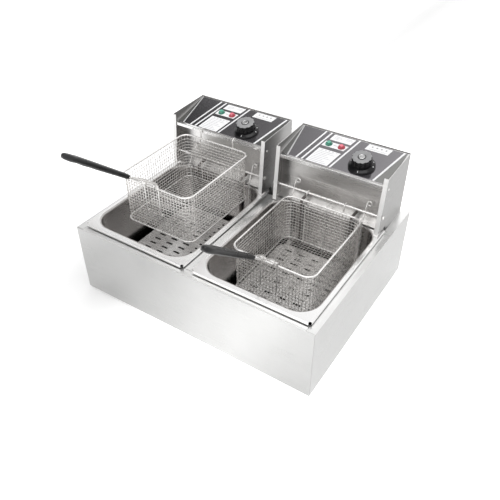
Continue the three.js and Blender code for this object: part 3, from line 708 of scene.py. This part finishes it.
def flange(side, x):
    """The flat flange round the pan's mouth with its four skirts."""
    f = FLANGE
    hole = tank_ring(3.6, 0)  # the flange laps a little over the pan's lip
    h, n, y0, y1, top = f["half"], f["notch"], f["front"], f["rear"], TANK["top"]
    outer = [(h, y1 - n), (h - n, y1 - n), (h - n, y1), (n - h, y1), (n - h, y1 - n), (-h, y1 - n),
             (-h, y0 + n), (n - h, y0 + n), (n - h, y0), (h - n, y0), (h - n, y0 + n), (h, y0 + n)]
    shape = bmesh.new()
    inner_loop = [shape.verts.new(point(p.x + x, p.y, top)) for p in hole]
    outer_loop = [shape.verts.new(point(px + x, py, top)) for px, py in outer]
    edges = []
    for loop in (inner_loop, outer_loop):
        edges += [shape.edges.new((a, b)) for a, b in zip(loop, loop[1:] + loop[:1])]
    bmesh.ops.triangle_fill(shape, use_beauty=True, use_dissolve=False, edges=edges)
    bmesh.ops.recalc_face_normals(shape, faces=shape.faces)
    if shape.faces[0].normal.z < 0:
        bmesh.ops.reverse_faces(shape, faces=shape.faces)
    drop = f["skirt"] - top
    shortest_run = 0.02  # metres; the notches' edges are shorter and have no skirt
    runs = [(a, b) for a, b in zip(outer_loop, outer_loop[1:] + outer_loop[:1])
            if (a.co - b.co).length > shortest_run]
    for a, b in runs:
        low = [shape.verts.new(v.co + Vector((0, 0, drop / 1000))) for v in (a, b)]
        shape.faces.new((a, low[0], low[1], b))
    bmesh.ops.recalc_face_normals(shape, faces=shape.faces)
    mesh = bpy.data.meshes.new(f"{side}_flange")
    shape.to_mesh(mesh)
    shape.free()
    mesh.materials.append(PLATE_STEEL)
    piece = add_object(f"{side}_flange", mesh)
    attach(piece, f"{side}_tank")
    thick = piece.modifiers.new("thickness", "SOLIDIFY")
    thick.thickness = 0.0011
    thick.offset = -1
    bevel(piece, "fold", 0.8, 3, 40)
    return piece


# ---- frying basket


def mesh_wires(x, lift):
    """Woven wire: uprights and loops that pass over and under each other, and a woven bottom."""
    b = BASKET
    weave, inset, sides = MESH_WIRE * 0.9, 3.0, 5
    half, y0, y1, corner = b["half"] - inset, b["front"] + inset, b["rear"] - inset, b["corner"] - inset
    outline = even_outline(half, y0, y1, corner, MESH_PITCH)
    rows = round((b["deep"] - 4) / MESH_PITCH)
    low, high = b["rim"] - b["deep"] + 2, b["rim"] - 1
    levels = [low + (high - low) * j / rows for j in range(rows + 1)]
    wires = []
    for i, (at, out) in enumerate(outline):
        path = [at + out * (weave * (-1) ** (i + j)) + Vector((0, 0, z)) for j, z in enumerate(levels)]
        wires.append((path, MESH_WIRE, sides, False))
    for j, z in enumerate(levels[1:-1], start=1):
        path = [at - out * (weave * (-1) ** (i + j)) + Vector((0, 0, z))
                for i, (at, out) in enumerate(outline)]
        wires.append((path, MESH_WIRE, sides, True))
    wires += bottom_wires(half, y0, y1, corner, low - 1, weave, sides)
    return moved(wires, x, lift)


def even_outline(half, y0, y1, corner, pitch):
    """Evenly spaced points round the basket's wall, each with its outward direction. The count is even."""
    dense = rounded_rect(half, y0, y1, corner, steps=24)
    lengths = [0.0]
    for a, b in zip(dense, dense[1:] + dense[:1]):
        lengths.append(lengths[-1] + (b - a).length)
    count = 2 * round(lengths[-1] / pitch / 2)
    found, k = [], 0
    for i in range(count):
        want = lengths[-1] * i / count
        while lengths[k + 1] < want:
            k += 1
        a, b = dense[k], dense[(k + 1) % len(dense)]
        at = a.lerp(b, (want - lengths[k]) / (lengths[k + 1] - lengths[k]))
        along = (b - a).normalized()
        found.append((at, Vector((along.y, -along.x, 0))))
    return found


def bottom_wires(half, y0, y1, corner, z, weave, sides):
    """The woven bottom: wires from front to back, then wires from side to side."""
    columns = 2 * round(half / MESH_PITCH)
    rows = 2 * round((y1 - y0) / MESH_PITCH / 2)
    xs = [half * (2 * i / columns - 1) for i in range(1, columns)]
    ys = [y0 + (y1 - y0) * j / rows for j in range(1, rows)]

    def reach(offset, length):
        """How far a wire stops short of the straight wall because of the rounded corner."""
        inside = offset - (length - corner)
        return corner - math.sqrt(max(corner**2 - inside**2, 0)) if inside > 0 else 0

    wires = []
    middle = (y0 + y1) / 2
    for i, x in enumerate(xs):
        short = reach(abs(x), half)
        inner = [(j, y) for j, y in enumerate(ys) if y0 + short < y < y1 - short]
        path = [Vector((x, y, z + weave * (-1) ** (i + j))) for j, y in inner]
        path = [Vector((x, y0 + short, z))] + path + [Vector((x, y1 - short, z))]
        wires.append((path, MESH_WIRE, sides, False))
    for j, y in enumerate(ys):
        short = reach(abs(y - middle), (y1 - y0) / 2)
        inner = [(i, x) for i, x in enumerate(xs) if -half + short < x < half - short]
        path = [Vector((x, y, z - weave * (-1) ** (i + j))) for i, x in inner]
        path = [Vector((short - half, y, z))] + path + [Vector((half - short, y, z))]
        wires.append((path, MESH_WIRE, sides, False))
    return wires


def at_x(x, *places):
    """Design points that share one x, given as (y, z) pairs."""
    return [Vector((x, y, z)) for y, z in places]


def frame_wires(x, lift):
    """Thick wires: rim, bottom edge, pivot rod and its uprights, hooks, rear uprights and a cross wire."""
    b, radius, inset = BASKET, BASKET_WIRES, FOOT_INSET
    rim = rounded_rect(b["half"], b["front"], b["rear"], b["corner"] + 0.3, 12)
    foot = rounded_rect(b["half"] - inset, b["front"] + inset, b["rear"] - inset, b["corner"] - 1, 12)
    z0, z1 = b["rim"] - b["deep"], b["rim"]
    pivot, upright_end, reach = z1 + PIVOT["up"], z1 - 62, PIVOT["half"]
    wires = [
        ([Vector((p.x, p.y, z1)) for p in rim], radius["rim"], 12, True),
        ([Vector((p.x, p.y, z0)) for p in foot], radius["foot"], 10, True),
        ([Vector((s, PIVOT["y"], pivot)) for s in (-reach, reach)], PIVOT["wire"], 12, False),
    ]
    for s in (-reach, reach):
        corners = at_x(s, (PIVOT["y"], pivot + 1), (PIVOT["y"], upright_end), (b["front"] + 3, upright_end))
        wires.append((arc_bends(corners, 3), radius["upright"], 10, False))
    hooks, front, rear, top, tip = (-44, 44), 309.4, 321.3, 226.3, 216
    for s in hooks:
        corners = at_x(s, (front, z1 - 1), (front, top), (rear, top), (rear, tip))
        wires.append((arc_bends(corners, (rear - front) / 2 - 0.01, 8), radius["hook"], 10, False))
    for s in hooks:
        path = at_x(s, (b["rear"] - 0.6, z1), (b["rear"] - 1.6, z0))
        wires.append((path, radius["rear"], 10, False))
    middle, reach = (b["front"] + b["rear"]) / 2, b["half"] - inset
    path = [Vector((s, middle, z0)) for s in (-reach, reach)]
    wires.append((path, radius["cross"], 10, False))
    return moved(wires, x, lift)


def basket(side, x, lift):
    """The woven mesh and the thick wires that hold it."""
    mesh = tubes(f"{side}_wire_mesh", mesh_wires(x, lift), MESH, f"{side}_basket")
    thick = tubes(f"{side}_wire_frame", frame_wires(x, lift), WIRE, f"{side}_basket")
    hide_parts(f"{side}_basket")
    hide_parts(f"{side}_basket_frame")


def along_handle(x, distance, lift):
    """Design point at a distance from the pivot along the handle, and lift above its middle line."""
    c, s = math.cos(HANDLE_ANGLE), math.sin(HANDLE_ANGLE)
    y = PIVOT["y"] - distance * c + lift * s
    z = BASKET["rim"] + PIVOT["up"] + distance * s + lift * c
    return Vector((x, y, z))


def handle(side, x, lift):
    """Wire fork that turns round the pivot rod, and its moulded grip."""
    move = Vector((x, 0, 0)) + lift
    legs = []
    for s in (-1, 1):
        eye_x, radius, steps = s * 12, 4.3, 14
        turns = [math.radians(270 * (k / steps - 1)) for k in range(steps + 1)]
        eye = [along_handle(eye_x, radius * math.sin(a), radius * math.cos(a)) for a in turns]
        leg = [along_handle(eye_x, 12, 4.2), along_handle(s * 7.6, 56, 0.5), along_handle(s * 7, 80, 0)]
        legs.append(eye + leg)
    wires = [([p + move for p in leg], HANDLE_WIRE, 12, False) for leg in legs]
    fork = tubes(f"{side}_handle_fork", wires, WIRE, f"{side}_handle")
    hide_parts(f"{side}_handle_wire")
    grip(side, move)


def grip(side, move):
    """Rounded sleeve: narrow at the wire end, with a flat raised back and two shallow finger dents below.

    t runs from 0 at the wire end to 1 at the tip; w and h are half the width and half the height there.
    """
    length = GRIP["to"] - GRIP["from"]
    sides, stations = 32, 48
    mouth, tip = 0.025, 0.88  # drawn in before mouth, rounded off after tip
    verts, faces = [], []
    for i in range(stations + 1):
        t = i / stations
        d = length * t
        swell = 0.5 - 0.5 * math.cos(math.pi * min(t / 0.8, 1))
        w = 8.6 + 2.2 * swell
        h = 5.0 + 1.3 * swell
        if t < mouth:
            pinch = 0.9 + 0.1 * math.sin(math.pi / 2 * t / mouth)
            w, h = w * pinch, h * pinch
        if t > tip:
            round_off = math.sqrt(max(1 - ((t - tip) / 0.12) ** 2, 0.002))
            w = w * round_off
            h = h * (0.35 + 0.65 * round_off) if round_off > 0.1 else h * round_off
        deep_dent = 1.0 * math.exp(-(((t - 0.80) / 0.06) ** 2))
        dent = deep_dent + 0.6 * math.exp(-(((t - 0.62) / 0.07) ** 2))
        for k in range(sides):
            angle = 2 * math.pi * k / sides
            c, s = math.cos(angle), math.sin(angle)
            px = w * math.copysign(abs(c) ** 0.75, c)
            pz = h * math.copysign(abs(s) ** 0.75, s)
            if s < -0.2:
                pz += dent * (-s)
            if s > 0.55 and 0.06 < t < 0.84:
                pz += 0.5
            verts.append(point(*(along_handle(px, GRIP["from"] + d, pz) + move)))
    for i in range(stations):
        for k in range(sides):
            a, b = i * sides + k, i * sides + (k + 1) % sides
            faces.append((a, a + sides, b + sides, b))
    faces.append(tuple(range(sides)))
    faces.append(tuple(reversed(range(stations * sides, (stations + 1) * sides))))
    piece = build(f"{side}_grip", verts, faces, GRIP_PLASTIC, f"{side}_handle", "grip", smooth=40)
    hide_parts(f"{side}_handle_grip")


# ---- control panel

# Printed lines that lean with the slope: name, left edge at the front and at the back, width.
SLANTED_LINES = [
    ("outer_line", -86.0, -66.4, 3.6, WHITE_INK),
    ("inner_line", -73.3, -53.0, 3.8, WHITE_INK),
    ("middle_line", -7.8, 13.4, 3.8, WHITE_INK),
    ("right_line", 88.2, 112.5, 4.2, WHITE_INK),
    ("left_line", -106.4, -121.6, 3.4, PALE_INK),
]


def film(side, x):
    """The printed film, with a margin outside the slanted line at each end.

    It has no holes: the dial's shaft and the lamps' shanks pass through it, out of sight.
    """
    half, front, back = FILM_HALF, FILM_FROM, FILM_TO
    outline = [(-half, front), (half, front), (half, back), (-half, back)]
    place = panel_place(x)

    def printed(name, outline, high, material, low=INK_LOW):
        return slab(f"{side}_{name}", outline, low, high, place, material, f"{side}_head", "overlay")

    piece = printed("film", outline, FILM_HIGH, FILM, FILM_LOW)
    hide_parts(f"{side}_panel_overlay")
    margins = {
        "left_margin": [(-half, front), (-105, front), (-half, 90)],
        "right_margin": [(92, front), (half, front), (half, back), (119, back)],
    }
    for name, outline in margins.items():
        printed(name, outline, MARGIN_HIGH, MARGIN)
    for name, low, high, wide, material in SLANTED_LINES:
        ends = (min(high + wide, half), back), (max(high, -half), back)
        outline = [(low, front), (low + wide, front), *ends]
        printed(name, outline, LINE_HIGH, material)
    for name, outline in LABELS.items():
        printed(name, outline, LABEL_HIGH, WHITE_INK)
    small_marks(side, place)


def small_marks(side, place):
    """Plain dashes and dots that stand where a real panel has its instructions.

    Each bar is (left end, front end, width, length up the slope) and leans like the slanted lines.
    """
    bars = []
    for row in range(8):
        y = 9.5 + row * 4.9
        left = -60 + y * 0.18
        bars.append((left, y, 41 - 7 * (row % 3), 0.9))
    for k in range(5):
        bars.append((-47 + k * 8.4, 48, 4.2, 1.3))
    label_rows = ((98.6, -38, 14), (94.6, -39, 18), (90.6, -40, 12), (99, -12, 13), (95, -13, 15))
    for row, left, wide in label_rows:
        bars.append((left, row, wide, 0.8))
    bars += [(42, 90, 40, 0.7), (-30, 70.2, 9, 1.1)]
    for k in range(4):
        bars.append((45 + k * 10.2, 96.6, 3.6, 3.6))
    verts, faces = [], []
    for left, y, wide, tall in bars:
        lean = tall * 0.2
        corners = [(left, y), (left + wide, y), (left + wide + lean, y + tall), (left + lean, y + tall)]
        start = len(verts)
        for lift in (MARK_LOW, MARK_HIGH):
            verts += [place(px, py, lift) for px, py in corners]
        faces += [tuple(start + i for i in face) for face in ring_caps(2, 4) + ring_sides(2, 4)]
    build(f"{side}_small_marks", verts, faces, MARK_INK, f"{side}_head", "overlay")


def lamp(side, x, colour, at, material):
    """Faceted lens: eight sloping sides and a round collar in deep colour, and a flat face in a paler, more
    glowing copy of the lens material: a painted highlight.
    """
    place = panel_place(x, at)
    deep, highlight_lens = material

    def part(name, verts, faces, finish, smooth=None):
        name, body, slot = f"{side}_{colour}_{name}", f"{side}_head", f"{colour}_lens"
        piece = build(name, verts, faces, finish, body, slot, smooth)
        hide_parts(f"{side}_{colour}_lamp")
        return piece

    def octagon(radius, lift):
        angles = [math.pi / 4 * k for k in range(8)]
        return [place(radius * math.cos(a), radius * math.sin(a), lift) for a in angles]

    rings = [octagon(7.5, 1.0), octagon(7.5, 2.9), octagon(4.5, 6.2)]
    verts = [corner for ring in rings for corner in ring]
    bottom_cap, top_cap = ring_caps(len(rings), 8)
    body = part("lens", verts, [bottom_cap] + ring_sides(len(rings), 8) + [top_cap], deep)
    bevel(body, "facet", 0.25)
    table = octagon(4.3, 6.15) + octagon(4.1, 6.5)
    # the flat face takes the paler copy of the lens: a painted highlight
    part("lens_face", table, ring_caps(2, 8) + ring_sides(2, 8), highlight_lens)
    shank = [(4.2, -14), (4.2, 0.2), (8.0, 0.2), (8.0, 1.0), (7.6, 1.3), (4, 1.3)]
    part("collar", *lathe(shank, 32, place), deep, smooth=40)


def knob(side, x):
    """Black dial: wide skirt with pale scale marks, lobed grip with a grey face, silver cap."""
    body = f"{side}_knob"
    place = panel_place(x, KNOB)
    plastic = (
        ("skirt", lathe(SKIRT_PROFILE, 96, place), BLACK),
        ("grip", lobed_grip(place, GRIP_LEVELS), BLACK),
        ("face", lobed_grip(place, FACE_LEVELS), DIAL_FACE),
    )
    for name, shape, material in plastic:
        piece = build(f"{side}_knob_{name}", *shape, material, body, "black_plastic", smooth=35)
        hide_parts(f"{side}_knob")
    scale_marks(side, place, body)
    metal = (
        ("cap", lathe(CAP_PROFILE, 48, place), CAP_METAL, 30),
        ("shaft", lathe([(2.9, -2.6), (2.9, 8.0)], 24, place), SCREW, 40),
    )
    for name, shape, material, smooth in metal:
        piece = build(f"{side}_knob_{name}", *shape, material, body, "steel", smooth)
        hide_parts(f"{side}_thermostat_spindle")


# Turned parts of the dial: radius, height above the panel.
SKIRT_PROFILE = [(23, 1.4), (27.2, 1.4), (27.9, 2.0), (28, 2.8), (27.9, 4.4), (27.2, 5.2), (25.4, 5.8),
                 (22.4, 7.2), (21.4, 7.8), (19.4, 8.2), (3.5, 8.3)]
CAP_PROFILE = [(6.4, 23.8), (6.9, 24.6), (6.9, 26.0), (6.5, 26.6), (5.7, 26.8), (5.1, 26.5), (4.7, 26.45),
               (3.0, 26.45), (2.7, 26.7), (1.2, 26.75)]

# Rings of the dial's grip: growth of the radius, height above the panel, depth of the lobes.
GRIP_RADIUS = 19.4
GRIP_LEVELS = [(0.3, 7.8, 0.8), (0.4, 9.0, 0.9), (0.2, 22.0, 1.0), (0.0, 24.8, 1.0), (-0.4, 25.3, 1.0),
               (-2.0, 25.3, 0.5)]
FACE_LEVELS = [(-1.0, 25.0, 0.6), (-0.3, 25.2, 1.0), (-0.7, 25.9, 0.9), (-1.7, 26.35, 0.7), (-3.4, 26.4, 0.4),
               (-8.0, 26.3, 0.0), (-10.6, 25.4, 0.0), (-12.2, 24.4, 0.0), (-13.0, 24.2, 0.0)]


def lobed_grip(place, levels):
    """Rings with twelve rounded lobes, capped."""
    lobes, steps = 12, 8
    count = lobes * steps
    verts = []
    for grow, lift, depth in levels:
        for k in range(count):
            angle = 2 * math.pi * k / count
            wave = abs(math.cos(lobes * angle / 2)) ** 0.7
            radius = GRIP_RADIUS + grow + depth * (2.0 * wave - 1.0)
            verts.append(place(radius * math.cos(angle), radius * math.sin(angle), lift))
    return verts, ring_sides(len(levels), count) + ring_caps(len(levels), count)


def scale_marks(side, place, body):
    """Pale dashes on the skirt's slope, turned to face outward, and one long pointer towards the front."""
    verts, faces = [], []
    for degrees in (4, 38, 72, 106, 140, 174, -84):
        angle = math.radians(degrees)
        inner, outer, half = (22.6, 26.4, 0.7) if degrees < 0 else (23.2, 25.6, 1.3)
        c, s = math.cos(angle), math.sin(angle)
        start = len(verts)
        for r, across in ((inner, -half), (outer, -half), (outer, half), (inner, half)):
            lift = 7.2 - (r - 22.4) * 0.47 + 0.12  # just above the skirt's slope
            verts.append(place(r * c - across * s, r * s + across * c, lift))
        faces.append((start, start + 1, start + 2, start + 3))
    marks = build(f"{side}_dial_marks", verts, faces, PALE_INK, body, "black_plastic")
    thick = marks.modifiers.new("ink", "SOLIDIFY")
    thick.thickness = 0.0001


# ---- parts in the tank


def element(side, x):
    """The heating element: down from the head, along the tank's floor in four limbs, and up again."""
    front, rear, rise, end = 68, 268, 316, 354  # y
    limb, inner = 60, 20  # x, to either side
    z, lead, radius = 52, 196, 3.3
    corners = [(-limb, end, lead), (-limb, rise, lead), (-limb, rise, z), (-limb, front, z),
               (-inner, front, z), (-inner, rear, z), (inner, rear, z), (inner, front, z),
               (limb, front, z), (limb, rise, z), (limb, rise, lead), (limb, end, lead)]
    path = arc_bends([Vector((px + x, py, pz)) for px, py, pz in corners], 12, 8)
    piece = tubes(f"{side}_element", [(path, radius, 14, False)], ELEMENT_STEEL, f"{side}_head", "element")
    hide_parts(f"{side}_heating_element")


def lift_wires(side, x):
    """Two wires up from the baffle plate, each with a collar at its foot and a loop at its top."""
    apart, y, top_y, loop = 84, 316.3, 333.5, 5
    foot, collar_low, collar_high, shoulder, top_z = 68, 72.6, 74.5, 194, 231
    for name, s in (("a", -1), ("b", 1)):
        wx = x + s * apart
        path = arc_bends(at_x(wx, (y, foot), (y, shoulder), (top_y, top_z)), 10, 6)
        for k in range(1, 13):
            a = math.radians(300 * k / 12)
            path.append(Vector((wx + loop - loop * math.cos(a), top_y + 1, top_z + loop * math.sin(a))))
        collar = at_x(wx, (y, collar_low), (y, collar_high))
        wires = [(path, 1.5, 10, False), (collar, 3.3, 12, False)]
        piece = tubes(f"{side}_lift_wire_{name}", wires, WIRE, f"{side}_baffle")
        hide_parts(f"{side}_baffle_wire_{name}")


# ---- head folds


def fold_faces(side, x):
    """Thin sheets over the front folds of the head's side walls, in a paler, less metallic copy of the steel
    than the walls behind them: a painted highlight.
    """
    wide, low, high = 9, (304.5, 184.2), (315.9, 309.8)  # low and high are (y, z)
    for s, label in ((-1, "left"), (1, "right")):
        outer, inner = x + s * HEAD_HALF, x + s * (HEAD_HALF - wide)
        verts = []
        for depth in (0.35, 0.02):
            for px, (y, z) in ((outer, low), (inner, low), (inner, high), (outer, high)):
                verts.append(point(px, y - depth + 0.2, z))
        faces = [(0, 1, 2, 3), (7, 6, 5, 4)]
        faces += [(k, 4 + k, 4 + (k + 1) % 4, (k + 1) % 4) for k in range(4)]
        piece = build(f"{side}_{label}_fold_face", verts, faces, FOLD_HIGHLIGHT_STEEL, f"{side}_head", "steel")
        bevel(piece, "edge", 0.1)


def rear_folds():
    """The casing's inward side folds beside the heads. The CAD walls have no fold there."""
    front, rear, low, high = 330.2, 438.5, 172.2, 173.0
    for s, label in ((-1, "left"), (1, "right")):
        inner, outer = s * 267.1, s * 284.1
        corners = [(inner, front), (outer, front), (outer, rear), (inner, rear)]
        slab(f"{label}_rear_fold", corners[::s], low, high, point, STEEL, "casing", "steel")


# ---- screws


def screw(name, at, out, body):
    """Plain domed screw head: at is in design millimetres, out is the way it faces."""
    out = Vector(out)
    side_a = out.orthogonal().normalized()
    side_b = out.cross(side_a)

    def place(px, py, lift):
        return point(*(Vector(at) + side_a * px + side_b * py + out * lift))

    r = SCREW_RADIUS
    profile = [(r, 0.0), (r, 0.5), (r * 0.86, 1.1), (r * 0.55, 1.5), (r * 0.3, 1.6)]
    verts, faces = lathe(profile, 24, place)
    build(name, verts, faces, SCREW, body, "steel", smooth=40)


def screws():
    """Screws in the heads' side and rear walls, in the visual model only."""
    for side, (x, _) in UNITS.items():
        for s, label in ((-1, "l"), (1, "r")):
            wall = x + s * HEAD_HALF
            for tag, (y, z) in SIDE_SCREWS.items():
                screw(f"{side}_screw_{label}_{tag}", (wall, y, z), (s, 0, 0), f"{side}_head")
            for tag, z in BACK_SCREWS.items():
                at = (x + s * BACK_SCREW_X, HEAD_REAR, z)
                screw(f"{side}_back_screw_{label}_{tag}", at, (0, 1, 0), f"{side}_head")


# ---- the scene

add_camera()
add_world()
add_lights()
add_floor()
dress_nodes()
for side, (x, lift) in UNITS.items():
    oil_tank(side, x)
    basket(side, x, lift)
    handle(side, x, lift)
    film(side, x)
    knob(side, x)
    lamp(side, x, "green", LAMPS["green"], GREEN)
    lamp(side, x, "red", LAMPS["red"], RED)
    element(side, x)
    lift_wires(side, x)
    fold_faces(side, x)
screws()
rear_folds()
